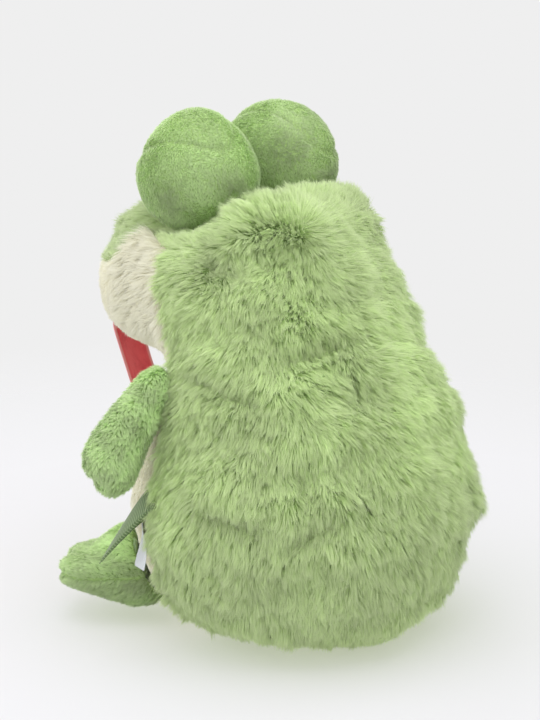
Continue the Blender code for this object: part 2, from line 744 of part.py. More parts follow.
def build_tongue(red, pink):
    """Two layers of felt that hang down the front of the muzzle from the mouth."""
    low, high = LIP_HEIGHT, MUZZLE_HEIGHT
    for _ in range(40):
        middle = (low + high) / 2
        angle = math.atan2(-TONGUE_FORWARD - bag_middle(middle), TONGUE_SIDE)
        if bag_point(angle, middle)[1] > -TONGUE_FORWARD:
            low = middle
        else:
            high = middle
    hinge = np.array([TONGUE_SIDE, -TONGUE_FORWARD - FELT_THICKNESS - SEAM_GAP / 2, middle])
    empty = pivot("tongue_pivot", hinge)
    down = np.array([0.0, math.sin(TONGUE_SLANT), -math.cos(TONGUE_SLANT)])
    facing = np.array([0.0, -math.cos(TONGUE_SLANT), -math.sin(TONGUE_SLANT)])
    start = hinge + down * SEAM_GAP
    shares = [0.0, 0.3, 0.55, 0.75, 0.86, 0.94, 0.985, 1.0]

    def width_at(share):
        swell = 0.86 + 0.14 * min(1.0, share / 0.5)
        left = (1 - share) * TONGUE_LENGTH
        half = TONGUE_WIDTH / 2
        return TONGUE_WIDTH * swell * max(0.16, math.sqrt(max(0.0, 1 - max(0.0, 1 - left / half) ** 2)))

    stations = [(share, start + down * share * TONGUE_LENGTH) for share in shares]
    for name, lift, cloth in (("tongue_front", SEAM_GAP / 2, pink), ("tongue_back", -SEAM_GAP / 2 - FELT_THICKNESS, red)):
        strip(
            name, stations, lambda share: np.array([1.0, 0.0, 0.0]), lambda share: facing,
            width_at, FELT_THICKNESS, lift, cloth, empty,
        )


def build_labels(green, white):
    angle = LEFT_SEAM
    outward = np.array([math.cos(angle), math.sin(angle), 0.0])
    ahead = np.array([math.sin(angle), -math.cos(angle), 0.0])

    seat = bag_point(angle, LABEL_HEIGHT) + outward * 2 * SEAM_GAP
    empty = pivot("label_pivot", seat)
    down = np.array([0.0, 0.0, -1.0])
    sideways = unit(0.72 * outward + 0.70 * ahead)
    run = unit(math.cos(LABEL_DROP) * sideways + math.sin(LABEL_DROP) * down)
    first = unit(np.cross(np.cross(run, np.array([0.0, 0.0, 1.0])), run))
    second = np.cross(run, first)

    def side_way(share):
        turn = LABEL_TURN + LABEL_TWIST * share
        return math.cos(turn) * first + math.sin(turn) * second

    def facing(share):
        return unit(np.cross(run, side_way(share)))

    shares = [0.0, 0.15, 0.3, 0.45, 0.6, 0.75, 0.9, 1.0]
    root_lift = outward * LABEL_WIDTH * 0.12
    stations = [(share, seat + root_lift + run * share * LABEL_LENGTH) for share in shares]
    strip(
        "brand_label", stations, side_way, facing, lambda share: LABEL_WIDTH * (1 - 0.2 * share),
        LABEL_THICKNESS, -LABEL_THICKNESS / 2, green, empty,
    )

    seat = bag_point(angle, CARE_LABEL_HEIGHT) + outward * CARE_LABEL_OUTSET + ahead * CARE_LABEL_WIDTH * 0.6
    empty = pivot("care_label_pivot", seat)
    shares = [0.0, 0.25, 0.5, 0.75, 1.0]
    lean = unit(down + 0.08 * outward)
    stations = [(share, seat + lean * share * CARE_LABEL_LENGTH) for share in shares]
    strip(
        "care_label", stations, lambda share: unit(ahead - 0.10 * outward),
        lambda share: unit(np.cross(lean, unit(ahead - 0.10 * outward))),
        lambda share: CARE_LABEL_WIDTH, CARE_LABEL_THICKNESS, -CARE_LABEL_THICKNESS / 2, white, empty,
    )


clear_scene()
shag_green = fabric("shag_green", (0.38, 0.50, 0.22))
short_green = fabric("short_green", (0.29, 0.42, 0.16))
sole_green = fabric("sole_green", (0.24, 0.36, 0.14))
cream_plush = fabric("cream_plush", (0.72, 0.69, 0.52))
seat_cloth = fabric("seat_cloth", (0.33, 0.44, 0.20))
filling_white = fabric("filling_white", (0.85, 0.85, 0.83))
pellet_cloth = fabric("pellet_cloth", (0.70, 0.70, 0.68))
felt_white = fabric("felt_white", (0.86, 0.85, 0.80))
pupil_black = fabric("pupil_black", (0.015, 0.015, 0.015), 0.25)
felt_red = fabric("felt_red", (0.52, 0.08, 0.09))
felt_pink = fabric("felt_pink", (0.62, 0.12, 0.15))
label_green = fabric("label_green", (0.15, 0.22, 0.09), 0.8)
label_white = fabric("label_white", (0.80, 0.82, 0.84), 0.8)

cutter = build_bag(shag_green, cream_plush, seat_cloth, filling_white, pellet_cloth)
for side, word in ((1, "left"), (-1, "right")):
    build_eye(side, word, short_green, filling_white, felt_white, pupil_black, cutter)
    build_arm(side, word, short_green, filling_white, cutter)
    build_leg(side, word, short_green, sole_green, filling_white, cutter)
build_tongue(felt_red, felt_pink)
build_labels(label_green, label_white)
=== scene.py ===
import json
import math

import bmesh
import bpy
import numpy as np
from mathutils import Matrix, Vector
from mathutils.bvhtree import BVHTree
from mathutils.kdtree import KDTree


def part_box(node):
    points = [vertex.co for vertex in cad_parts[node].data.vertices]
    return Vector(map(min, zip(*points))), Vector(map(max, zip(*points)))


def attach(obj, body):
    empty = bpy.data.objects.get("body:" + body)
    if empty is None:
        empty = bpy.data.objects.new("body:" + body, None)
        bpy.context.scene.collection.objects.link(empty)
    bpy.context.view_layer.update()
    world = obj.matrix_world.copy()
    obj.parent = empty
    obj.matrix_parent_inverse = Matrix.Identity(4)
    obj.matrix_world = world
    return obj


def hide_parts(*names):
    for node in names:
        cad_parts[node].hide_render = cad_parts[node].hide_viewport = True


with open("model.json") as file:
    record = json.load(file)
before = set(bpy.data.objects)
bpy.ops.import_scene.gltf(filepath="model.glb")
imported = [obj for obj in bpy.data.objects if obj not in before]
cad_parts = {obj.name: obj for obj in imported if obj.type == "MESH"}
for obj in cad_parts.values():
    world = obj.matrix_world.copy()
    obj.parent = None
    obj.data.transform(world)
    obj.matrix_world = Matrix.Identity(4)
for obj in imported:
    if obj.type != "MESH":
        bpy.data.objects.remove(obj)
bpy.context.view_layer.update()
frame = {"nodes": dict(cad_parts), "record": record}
chance = np.random.default_rng(26)

# The bag of the body and head
# Knitted backing cloth cut in seven panels, sewn right sides together, turned and stuffed. The backing
# carries the pile: it lies a pile's depth under the outer face and dips where two panels are sewn together.
BAG_PANELS = [
    "back_panel_left",
    "back_panel_right",
    "crown_panel",
    "muzzle_panel",
    "chin_panel",
    "belly_panel",
    "base_panel",
]
BACKING_DEPTHS = [0.0060, 0.0060, 0.0062, 0.0016, 0.0022, 0.0022, 0.0012]
FLUFF_DEPTH, CREASE_DEPTH, PIT_DEPTH, EYE_FOOT_DEPTH = 0.0044, 0.0062, 0.0070, 0.0100
WANDER_DEPTH, LONG_SEAM_DEPTH, CREAM_SEAM_DEPTH = 0.0019, 0.0008, 0.0014
LONG, CREAM = [0, 1, 2], [3, 4, 5]
UP = np.array([0.0, 0.0, 1.0])
BAG_NET_CELL = 0.0028


def backing(name, colour, deep):
    """Knitted backing cloth: tiny uneven loops, darker between them."""
    material = bpy.data.materials.new(name)
    material.use_nodes = True
    nodes, links = material.node_tree.nodes, material.node_tree.links
    shader = nodes["Principled BSDF"]
    shader.inputs["Roughness"].default_value = 0.95
    place = nodes.new("ShaderNodeTexCoord")
    loops = nodes.new("ShaderNodeTexNoise")
    loops.inputs["Scale"].default_value = 900
    loops.inputs["Detail"].default_value = 3
    ramp = nodes.new("ShaderNodeValToRGB")
    ramp.color_ramp.elements[0].position = 0.35
    ramp.color_ramp.elements[0].color = (*deep, 1)
    ramp.color_ramp.elements[1].position = 0.65
    ramp.color_ramp.elements[1].color = (*colour, 1)
    links.new(place.outputs["Object"], loops.inputs["Vector"])
    links.new(loops.outputs["Fac"], ramp.inputs["Fac"])
    links.new(ramp.outputs["Color"], shader.inputs["Base Color"])
    return material


green_backing = backing("green_backing", (0.38, 0.54, 0.20), (0.27, 0.40, 0.13))
cream_backing = backing("cream_backing", (0.80, 0.77, 0.60), (0.68, 0.65, 0.48))


def solid_of(names):
    """The corners and triangles of some solids, joined."""
    corners, triangles, start = [], [], 0
    for name in names:
        mesh = frame["nodes"][name].data
        mesh.calc_loop_triangles()
        spots = np.empty(len(mesh.vertices) * 3, np.float32)
        mesh.vertices.foreach_get("co", spots)
        faces = np.empty(len(mesh.loop_triangles) * 3, np.int32)
        mesh.loop_triangles.foreach_get("vertices", faces)
        corners.append(spots.reshape(-1, 3).astype(float))
        triangles.append(faces.reshape(-1, 3) + start)
        start += len(mesh.vertices)
    return np.concatenate(corners), np.concatenate(triangles)


def soften(values, quads, times):
    """Evens out a value held at each point with those of its neighbours."""
    values = values.astype(float).copy()
    shape = (len(values),) + (1,) * (values.ndim - 1)
    count = np.zeros(len(values))
    for corner in range(4):
        np.add.at(count, quads[:, corner], 2)
    for _ in range(times):
        total = np.zeros_like(values)
        for corner in range(4):
            beside = values[quads[:, (corner + 1) % 4]] + values[quads[:, (corner + 3) % 4]]
            np.add.at(total, quads[:, corner], beside)
        values = 0.5 * values + 0.5 * total / count.reshape(shape)
    return values


def outer_form(names, cell, rounds, core=None):
    """The outer face of some joined solids, and of a core put with them, as an even net of quads."""
    corners, triangles = solid_of(names)
    if core is not None:
        triangles = np.concatenate([triangles, core[1] + len(corners)])
        corners = np.concatenate([corners, core[0]])
    mesh = bpy.data.meshes.new("net")
    mesh.from_pydata(corners.tolist(), [], triangles.tolist())
    obj = bpy.data.objects.new("net", mesh)
    bpy.context.scene.collection.objects.link(obj)
    net = obj.modifiers.new("net", "REMESH")
    net.mode = "VOXEL"
    net.voxel_size = cell
    made = bpy.data.meshes.new_from_object(obj.evaluated_get(bpy.context.evaluated_depsgraph_get()))
    bpy.data.objects.remove(obj)
    points = np.empty(len(made.vertices) * 3, np.float32)
    made.vertices.foreach_get("co", points)
    points = points.reshape(-1, 3).astype(float)
    quads = np.array([face.vertices[:] for face in made.polygons if len(face.vertices) == 4])
    bpy.data.meshes.remove(made)
    island = np.arange(len(points))
    while True:
        lowest = island[quads].min(axis=1)
        before = island.copy()
        for corner in range(4):
            np.minimum.at(island, quads[:, corner], lowest)
        island = island[island]
        if (island == before).all():
            break
    biggest = np.bincount(island).argmax()
    quads = quads[island[quads[:, 0]] == biggest]
    used, index = np.unique(quads, return_inverse=True)
    quads = index.reshape(quads.shape)
    return soften(points[used], quads, rounds), quads


bag_points, bag_quads = outer_form(BAG_PANELS + ["body_stuffing"], BAG_NET_CELL, 3)


def trees_of(names):
    """A search tree over the faces of each solid, by its name."""
    found = {}
    for name in names:
        corners, triangles = solid_of([name])
        found[name] = BVHTree.FromPolygons(corners.tolist(), triangles.tolist())
    return found


def nearest_panels(points, trees):
    """For each point, the index of the nearest panel, and how much nearer it is than the next one."""
    far = np.empty((len(trees), len(points)))
    for row, tree in enumerate(trees.values()):
        far[row] = [tree.find_nearest(point)[3] for point in points.tolist()]
    order = np.argsort(far, axis=0)
    ranked = np.take_along_axis(far, order, axis=0)
    return order[0], ranked[1] - ranked[0]


def cream_peak(points):
    """The cream of each cheek runs up in a soft point beside the eye."""
    top = np.interp(points[:, 1], [-0.115, -0.100, -0.088, -0.076, -0.0415, -0.033],
                    [0.1915, 0.1950, 0.2095, 0.2205, 0.2050, 0.196])
    return (points[:, 2] < top) & (np.abs(points[:, 0]) > 0.030) & (points[:, 1] < -0.033)


bag_trees = trees_of(BAG_PANELS)
panel, inside = nearest_panels(bag_points, bag_trees)
panel = np.where((panel == 2) & cream_peak(bag_points), 3, panel)
SIDES = (("left", 1), ("right", -1))
EYE_HALF_HEIGHT = 0.034
eye_eggs, eye_cores = {}, {}
for side, sign in SIDES:
    lows, highs = zip(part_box(f"eye_lid_{side}"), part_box(f"eye_wrap_{side}"))
    low, high = np.min(lows, axis=0), np.max(highs, axis=0)
    half = np.array([(high[0] - low[0]) / 2, (high[1] - low[1]) / 2, EYE_HALF_HEIGHT])
    middle = np.array([(low[0] + high[0]) / 2, (low[1] + high[1]) / 2, high[2] - EYE_HALF_HEIGHT])
    ball = bmesh.new()
    bmesh.ops.create_icosphere(ball, subdivisions=4, radius=1)
    ball.verts.index_update()
    round_points = np.array([spot.co[:] for spot in ball.verts])
    lower = np.clip(-round_points[:, 2:3] / 0.5, 0, 1)
    core_triangles = np.array([[spot.index for spot in face.verts] for face in ball.faces])
    eye_cores[side] = (middle + round_points * half * (0.80 + 0.17 * lower), core_triangles)
    eye_eggs[side] = (middle, half)
    ball.free()


def beside_eye(points):
    """How far outside the nearer eye each place is, as a share of the eye's size."""
    shares = [np.linalg.norm((points - middle) / half, axis=1) for middle, half in eye_eggs.values()]
    return np.min(shares, axis=0) - 1


def eye_foot(points, reach):
    """1 against the outer side of an eye, falling to 0 away from it: there the head dips, with short pile."""
    close = np.exp(-((np.maximum(beside_eye(points), 0) / reach) ** 2))
    outer = np.clip((np.abs(points[:, 0]) - 0.036) / 0.010, 0, 1)
    return close * outer * np.clip((-points[:, 1] - 0.010) / 0.012, 0, 1)


def cheek_fluff(points):
    """How fluffy the cream is: longest on the cheek beside the side seam, smooth toward front and lip."""
    side = np.clip((points[:, 1] + 0.104) / 0.024, 0, 1) * np.clip((points[:, 2] - 0.156) / 0.014, 0, 1)
    return side * (np.abs(points[:, 0]) > 0.03)


def near_line(points, ends, reach):
    """1 on the line between two places, falling to 0 away from it."""
    start, stop = (np.array(end) for end in ends)
    along = np.clip((points - start) @ (stop - start) / max((stop - start) @ (stop - start), 1e-12), 0, 1)
    away = np.linalg.norm(points - start - along[:, None] * (stop - start), axis=1)
    return np.exp(-((away / reach) ** 2))


PIT = ((0.066, -0.014, 0.2058), (0.0585, -0.0148, 0.1993))
CREASES = (
    ((0.052, 0.029, 0.163), (0.021, 0.038, 0.167)),
    ((0.081, -0.012, 0.150), (0.074, 0.023, 0.142)),
    ((0.090, 0.012, 0.086), (0.087, 0.030, 0.083)),
    ((0.067, 0.049, 0.111), (0.066, 0.054, 0.098)),
    ((0.072, 0.056, 0.076), (0.061, 0.063, 0.086)),
    ((-0.070, 0.020, 0.150), (-0.050, 0.045, 0.146)),
    ((-0.080, 0.040, 0.100), (-0.062, 0.060, 0.094)),
)


def creased(points, reach):
    """1 in the creases where the bag has been folded and its pile brushed apart."""
    return np.max([near_line(points, ends, reach) for ends in CREASES], axis=0)


def unit(vectors):
    """Each direction at a length of 1."""
    return vectors / np.maximum(np.linalg.norm(vectors, axis=-1, keepdims=True), 1e-9)


def drift(points, size, seed, ways=3):
    """A smooth random field: each value wanders between about -1 and 1 over lengths of about size."""
    rng = np.random.default_rng(seed)
    total = np.zeros((len(points), ways))
    for _ in range(7):
        wave = unit(rng.normal(size=(ways, 3))) * 2 * math.pi / size * rng.uniform(0.6, 1.5, (ways, 1))
        total += np.sin(points @ wave.T + rng.uniform(0, 2 * math.pi, ways))
    return total / 2.6


depth = np.choose(panel, BACKING_DEPTHS)
depth = depth + FLUFF_DEPTH * cheek_fluff(bag_points) * (panel == 3)
depth = depth + WANDER_DEPTH * drift(bag_points * (1, 1, 1.7), 0.060, 41, 1)[:, 0] * np.isin(panel, LONG)
depth = depth + CREASE_DEPTH * creased(bag_points, 0.0048)
depth = depth + PIT_DEPTH * near_line(bag_points, PIT, 0.0060)
depth = depth + LONG_SEAM_DEPTH * np.exp(-((inside / 0.0035) ** 2)) * np.isin(panel, LONG)
depth = depth + EYE_FOOT_DEPTH * eye_foot(bag_points, 0.34) * np.isin(panel, LONG)
depth = depth + CREAM_SEAM_DEPTH * np.exp(-((inside / 0.0025) ** 2)) * np.isin(panel, CREAM)
depth = soften(depth, bag_quads, 3)


def normals_of(points, quads):
    """The way out of the skin at each point of its net."""
    across = np.cross(points[quads[:, 2]] - points[quads[:, 0]], points[quads[:, 3]] - points[quads[:, 1]])
    total = np.zeros_like(points)
    for corner in range(4):
        np.add.at(total, quads[:, corner], across)
    return unit(total)


def cloth_mesh(name, points, quads, material, body):
    """A piece of cloth as one smooth mesh that moves with its body."""
    mesh = bpy.data.meshes.new(name)
    mesh.from_pydata(points.tolist(), [], quads.tolist())
    mesh.shade_smooth()
    mesh.materials.append(material)
    obj = bpy.data.objects.new(name, mesh)
    bpy.context.scene.collection.objects.link(obj)
    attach(obj, body)
    return obj


bag_skin = bag_points - normals_of(bag_points, bag_quads) * depth[:, None]
bag_skin = soften(bag_skin, bag_quads, 2)
bag_normals = normals_of(bag_skin, bag_quads)
body_skin = cloth_mesh("body_skin", bag_skin, bag_quads, green_backing, "body")
body_skin.data.materials.append(cream_backing)
of_cream = np.isin(panel[bag_quads[:, 0]], CREAM)
body_skin.data.polygons.foreach_set("material_index", of_cream.astype(np.int32))
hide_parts(*BAG_PANELS, "body_stuffing", "pellet_pouch")


# The long pile of the back, crown and snout
# Polyester fibres about 12 mm long, up to 3 mm more beside the centre seam, knitted in and brushed. They
# clump into tufts, flow down from where the crown is joined, part at the centre seam and stand on the brow.
def pile_material(name, root, middle, tip, low=0.80, high=1.16, sheen=0.5):
    """Fibres darker at the root and paler at the tip. The net's u is a fibre's tone, and v runs up it."""
    material = bpy.data.materials.new(name)
    material.use_nodes = True
    nodes, links = material.node_tree.nodes, material.node_tree.links
    shader = nodes["Principled BSDF"]
    shader.inputs["Roughness"].default_value = 0.72
    shader.inputs["Specular IOR Level"].default_value = 0.25
    shader.inputs["Sheen Weight"].default_value = sheen
    shader.inputs["Sheen Roughness"].default_value = 0.32
    place = nodes.new("ShaderNodeUVMap")
    place.uv_map = "OFBake"
    split = nodes.new("ShaderNodeSeparateXYZ")
    ramp = nodes.new("ShaderNodeValToRGB")
    ramp.color_ramp.elements[0].color = (*root, 1)
    ramp.color_ramp.elements[1].color = (*tip, 1)
    between = ramp.color_ramp.elements.new(0.42)
    between.color = (*middle, 1)
    tone = nodes.new("ShaderNodeMapRange")
    tone.inputs["To Min"].default_value = low
    tone.inputs["To Max"].default_value = high
    scale = nodes.new("ShaderNodeVectorMath")
    scale.operation = "SCALE"
    links.new(place.outputs["UV"], split.inputs["Vector"])
    links.new(split.outputs["Y"], ramp.inputs["Fac"])
    links.new(split.outputs["X"], tone.inputs["Value"])
    links.new(ramp.outputs["Color"], scale.inputs[0])
    links.new(tone.outputs["Result"], scale.inputs["Scale"])
    links.new(scale.outputs["Vector"], shader.inputs["Base Color"])
    glow = nodes.new("ShaderNodeBsdfTranslucent")
    links.new(scale.outputs["Vector"], glow.inputs["Color"])
    mix = nodes.new("ShaderNodeMixShader")
    mix.inputs["Fac"].default_value = 0.46
    links.new(shader.outputs["BSDF"], mix.inputs[1])
    links.new(glow.outputs["BSDF"], mix.inputs[2])
    links.new(mix.outputs["Shader"], nodes["Material Output"].inputs["Surface"])
    return material


def scatter(points, quads, normals, count, weight=None):
    """Random places on a skin: where, which way is out, and the corner of the net that is nearest."""
    first, second, third, fourth = (points[quads[:, corner]] for corner in range(4))
    area = np.linalg.norm(np.cross(third - first, fourth - second), axis=1)
    if weight is not None:
        area = area * weight[quads].mean(axis=1)
    chosen = chance.choice(len(quads), count, p=area / area.sum())
    along, over = chance.random((2, count, 1))
    shares = [(1 - along) * (1 - over), along * (1 - over), along * over, (1 - along) * over]
    where = sum(share * points[quads[chosen, corner]] for corner, share in enumerate(shares))
    out = unit(sum(share * normals[quads[chosen, corner]] for corner, share in enumerate(shares)))
    return where, out, quads[chosen, np.argmax(np.concatenate(shares, axis=1), axis=1)]


def grow(name, pieces, body, material, where, out, flow, length, start, end, tone, width, rows=3,
         per_tuft=13, pull=0.27, splay=0.25, level=0.78, lock=0.0, mottle=1.0):
    """Fibres as narrow tapered ribbons. start and end are their lean from upright at root and tip."""
    count = len(where)
    flow = unit(flow - out * (flow * out).sum(axis=1, keepdims=True))
    order = chance.permutation(count)
    seeds = order[:max(1, count // per_tuft)]
    leaders = order[:max(1, count // (per_tuft * 8))]

    def nearest_of(chosen):
        tree = KDTree(len(chosen))
        for index, place in enumerate(where[chosen].tolist()):
            tree.insert(place, index)
        tree.balance()
        return chosen[np.array([tree.find(place)[1] for place in where.tolist()])]

    tuft = nearest_of(seeds)
    turn = chance.normal(0, 0.20, count) + chance.normal(0, splay, count)[tuft]
    side = np.cross(out, flow)
    flow = flow * np.cos(turn)[:, None] + side * np.sin(turn)[:, None]
    length = length * chance.uniform(0.78, 1.12, count) * (1 + chance.normal(0, 0.09, count)[tuft])
    start = start + chance.normal(0, 0.12, count) + chance.normal(0, 0.12, count)[tuft]
    end = np.clip(end + chance.normal(0, 0.08, count) + chance.normal(0, 0.10, count)[tuft], 0.05, 1.62)
    line = [where - out * 0.0004]
    for row in range(rows):
        lean = start + (end - start) * (row + 0.5) / rows
        step = np.cos(lean)[:, None] * out + np.sin(lean)[:, None] * flow
        line.append(line[-1] + step * (length / rows)[:, None])
    line = np.stack(line, axis=1)
    share = np.linspace(0, 1, rows + 1)[None, :, None]
    line += (line[tuft] + (where - where[tuft])[:, None] * 0.25 - line) * pull * share ** 1.3
    if lock:
        big = nearest_of(leaders)
        line += (line[big] + (where - where[big])[:, None] * 0.55 - line) * lock * share ** 1.6
    line[:, :, 2] = np.maximum(line[:, :, 2], 0.0006)
    run = unit(np.gradient(line, axis=1))
    cross = unit(np.cross(run, out[:, None]) + 1e-6)
    roll = chance.uniform(-0.65, 0.65, (count, 1, 1))
    cross = cross * np.cos(roll) + np.cross(cross, run) * np.sin(roll)
    facing = level * out[:, None] + (1 - level) * np.cross(cross, run)
    facing = unit(facing + chance.normal(0, 0.05, (count, 1, 3)))
    taper = width / 2 * (1 - 0.45 * share[0, :, 0] ** 1.5)
    left = line - cross * taper[None, :, None]
    right = line + cross * taper[None, :, None]
    tone = tone + mottle * (chance.normal(0, 0.13, count) + chance.normal(0, 0.10, count)[tuft])
    tone = np.clip(tone, 0.01, 0.99)
    per = 2 * rows + 1
    spots = np.empty((count, per, 3))
    spots[:, 0:2 * rows:2] = left[:, :rows]
    spots[:, 1:2 * rows:2] = right[:, :rows]
    spots[:, 2 * rows] = line[:, rows]
    ways = np.empty((count, per, 3))
    ways[:, 0:2 * rows:2] = facing[:, :rows]
    ways[:, 1:2 * rows:2] = facing[:, :rows]
    ways[:, 2 * rows] = facing[:, rows]
    rise = np.repeat(np.arange(rows) / rows, 2).tolist() + [0.995]
    quad = [[2 * row, 2 * row + 1, 2 * row + 3, 2 * row + 2] for row in range(rows - 1)]
    quad = np.array(quad, int).reshape(-1)
    cap = np.array([2 * rows - 2, 2 * rows - 1, 2 * rows])
    made = []
    for number, members in enumerate(np.array_split(np.arange(count), pieces)):
        size = len(members)
        base = np.arange(size)[:, None] * per
        loops = np.concatenate([quad[None] + base, cap[None] + base], axis=1).reshape(-1)
        totals = np.tile([4] * (rows - 1) + [3], size)
        mesh = bpy.data.meshes.new(f"{name}_{number + 1}")
        mesh.vertices.add(size * per)
        mesh.vertices.foreach_set("co", spots[members].reshape(-1).astype(np.float32))
        mesh.loops.add(len(loops))
        mesh.loops.foreach_set("vertex_index", loops.astype(np.int32))
        mesh.polygons.add(len(totals))
        starts = np.concatenate([[0], np.cumsum(totals)[:-1]])
        mesh.polygons.foreach_set("loop_start", starts.astype(np.int32))
        mesh.update(calc_edges=True)
        mesh.shade_smooth()
        flat = mesh.uv_layers.new(name="OFBake")
        uv = np.stack([np.repeat(tone[members], per), np.tile(rise, size)], axis=1)
        flat.uv.foreach_set("vector", uv[loops].reshape(-1).astype(np.float32))
        mesh.normals_split_custom_set_from_vertices(ways[members].reshape(-1, 3).astype(np.float32))
        mesh.materials.append(material)
        obj = bpy.data.objects.new(mesh.name, mesh)
        bpy.context.scene.collection.objects.link(obj)
        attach(obj, body)
        made.append(obj)
    return made


LONG_PILE_COUNT, LONG_PILE_LENGTH, LONG_PILE_WIDTH = 330000, 0.0116, 0.00034
long_green = pile_material("long_green_pile", (0.60, 0.79, 0.33), (0.73, 0.88, 0.455), (0.83, 0.94, 0.60))
JOIN = np.array([0.018, 0.011, 0.2212])
thick_set = 1 + 1.2 * np.exp(-inside / 0.008) + near_line(bag_skin, (JOIN, JOIN), 0.016)
thick_set = np.isin(panel, LONG) * thick_set + 1e-6
where, out, corner = scatter(bag_skin, bag_quads, bag_normals, LONG_PILE_COUNT, thick_set)
keep = np.isin(panel[corner], LONG) & (beside_eye(where) > -0.05)
where, out, which, gap = where[keep], out[keep], panel[corner][keep], inside[corner][keep]
away = where - JOIN
from_join = np.linalg.norm(away, axis=1, keepdims=True)
near_join = np.exp(-((from_join / 0.055) ** 2))
on_crown = (which == 2)[:, None]
down = -UP + 0.10 * unit(away)
flow = unit(away) * near_join + down * (1 - near_join)
brow = np.array([0.0, -0.75, 0.35])
snout_drop = np.clip((where[:, 2] - 0.206) / 0.010, 0, 1) * -0.6 + 0.1
snout = unit(np.stack([where[:, 0] * 6, np.full(len(where), -0.6), snout_drop], axis=1))
forward = np.clip((-where[:, 1:2] - 0.045) / 0.045, 0, 1)
crown_flow = unit(away) * near_join + (brow * (1 - forward) + snout * forward) * (1 - near_join)
flow = np.where(on_crown, crown_flow, flow)
PARTING_HEIGHTS = [0.097, 0.153, 0.189, 0.2085, 0.221]
PARTING_PLACES = [0.0117, 0.0083, 0.0031, 0.0052, 0.018]
parting = np.interp(where[:, 2], PARTING_HEIGHTS, PARTING_PLACES)
beyond = (parting - where[:, 0])[:, None]
swept = np.exp(-np.maximum(beyond, 0) / 0.030) * (beyond > 0) * (where[:, 1:2] > 0.0) * ~on_crown
swept = swept * np.clip((where[:, 2:3] - 0.05) / 0.06, 0, 1)
flow = flow + swept * np.array([-0.85, 0, 0.1])
over_leg = np.exp(-gap / 0.010) * np.clip((0.080 - where[:, 2]) / 0.02, 0, 1)
flow = flow + over_leg[:, None] * np.array([0, -0.9, 0.2])
pit = near_line(where, PIT, 0.011)[:, None]
flow = flow * (1 - pit) + 1.4 * pit * unit(where - np.array(PIT[0]))
crease = creased(where, 0.0072)
flow = flow + 0.13 * drift(where, 0.070, 2) + 0.16 * drift(where, 0.030, 3) + 0.15 * drift(where, 0.010, 4)
standing = np.exp(-(((where[:, 2] - 0.232) / 0.010) ** 2)) * (where[:, 1] > -0.06)
by_eye = eye_foot(where, 0.36) * (where[:, 1] > -0.100)
upright = np.exp(-((from_join[:, 0] / 0.010) ** 2))
by_seam = np.exp(-gap / 0.006)
start = 0.64 - 0.16 * standing - 0.34 * by_seam + 0.25 * crease - 0.2 * upright
start = start + 0.16 * drift(where * (1, 1, 1.7), 0.028, 43, 1)[:, 0] + 0.15 * swept[:, 0]
end = 1.19 - 0.14 * standing - 0.28 * by_seam - 0.2 * upright + 0.26 * swept[:, 0]
end = end + 0.16 * drift(where * (1, 1, 1.7), 0.040, 45, 1)[:, 0]
length = LONG_PILE_LENGTH - 0.0008 * np.exp(-gap / 0.003) + 0.0030 * swept[:, 0]
length = length * (1 - 0.55 * forward[:, 0] * on_crown[:, 0] * np.clip((0.212 - where[:, 2]) / 0.012, 0, 1))
length = length * (1 - 0.45 * np.clip((0.026 - where[:, 2]) / 0.022, 0, 1)) * (1 - 0.35 * crease)
length = length * (1 - 0.45 * pit[:, 0])
length = length * (1 - 0.60 * by_eye) * (1 + 0.10 * drift(where, 0.015, 44, 1)[:, 0])
tone = 0.52 + 0.08 * drift(where, 0.05, 5, 1)[:, 0] - 0.45 * forward[:, 0] * on_crown[:, 0]
# Painted shade: the pile is darker in the pit and in the creases, where shade falls between the folds.
tone = tone - 0.6 * pit[:, 0] - 0.55 * crease - 0.10 * on_crown[:, 0]
# Painted shade: the pile darkens below about 9 cm, where the lower body is in shade.
tone = tone - 0.14 * np.clip((0.090 - where[:, 2]) / 0.03, 0, 1)
tone = tone + 0.16 * np.clip((0.03 - where[:, 2]) / 0.02, 0, 1)
grow("long_pile", 9, "body", long_green, where, out, flow, length, start, end, tone,
     width=LONG_PILE_WIDTH, lock=0.19, mottle=0.9)

# The under-fur
# A dense layer of short fibres of the same polyester stands between the long ones. It is knitted in with them
# and keeps the backing from showing.
UNDER_FUR_COUNT, UNDER_FUR_LENGTH, UNDER_FUR_WIDTH = 130000, 0.0060, 0.00044
on_long = np.isin(panel, LONG) + 1e-6
where, out, corner = scatter(bag_skin, bag_quads, bag_normals, UNDER_FUR_COUNT, on_long)
keep = np.isin(panel[corner], LONG) & (beside_eye(where) > -0.05) & (where[:, 2] > 0.004)
where, out = where[keep], out[keep]
length = UNDER_FUR_LENGTH * (1 - 0.60 * eye_foot(where, 0.36)) * (1 - 0.7 * near_line(where, PIT, 0.007))
length = length - 0.0030 * creased(where, 0.006)
tone = np.full(len(where), 0.56)
grow("under_fur", 1, "body", long_green, where, out, drift(where, 0.012, 51), length, 0.15,
     0.55, tone, UNDER_FUR_WIDTH, rows=1, per_tuft=8, pull=0.15, level=0.80, mottle=0.6)


# The pile of the muzzle, chin and belly
# Cream polyester pile knitted into the same kind of backing. It is about 11 mm long on the cheeks, combed
# forward and down to the lip, and sheared to 3 mm on the front, chin and belly.
CREAM_COUNT, CREAM_LENGTH, CREAM_EXTRA, CREAM_WIDTH = 130000, 0.0034, 0.0080, 0.00036
CREAM_TONES = ((0.89, 0.87, 0.70), (0.945, 0.93, 0.79), (0.97, 0.96, 0.86))
cream_pile = pile_material("cream_pile", *CREAM_TONES, 0.96, 1.02)
on_cream = np.isin(panel, CREAM) + 1e-6
where, out, corner = scatter(bag_skin, bag_quads, bag_normals, CREAM_COUNT, on_cream)
keep = np.isin(panel[corner], CREAM) & (beside_eye(where) > -0.05)
where, out, which, gap = where[keep], out[keep], panel[corner][keep], inside[corner][keep]
cheek = (which == 3)[:, None]
flow = np.where(cheek, np.array([0.0, -0.62, -0.60]), -UP)
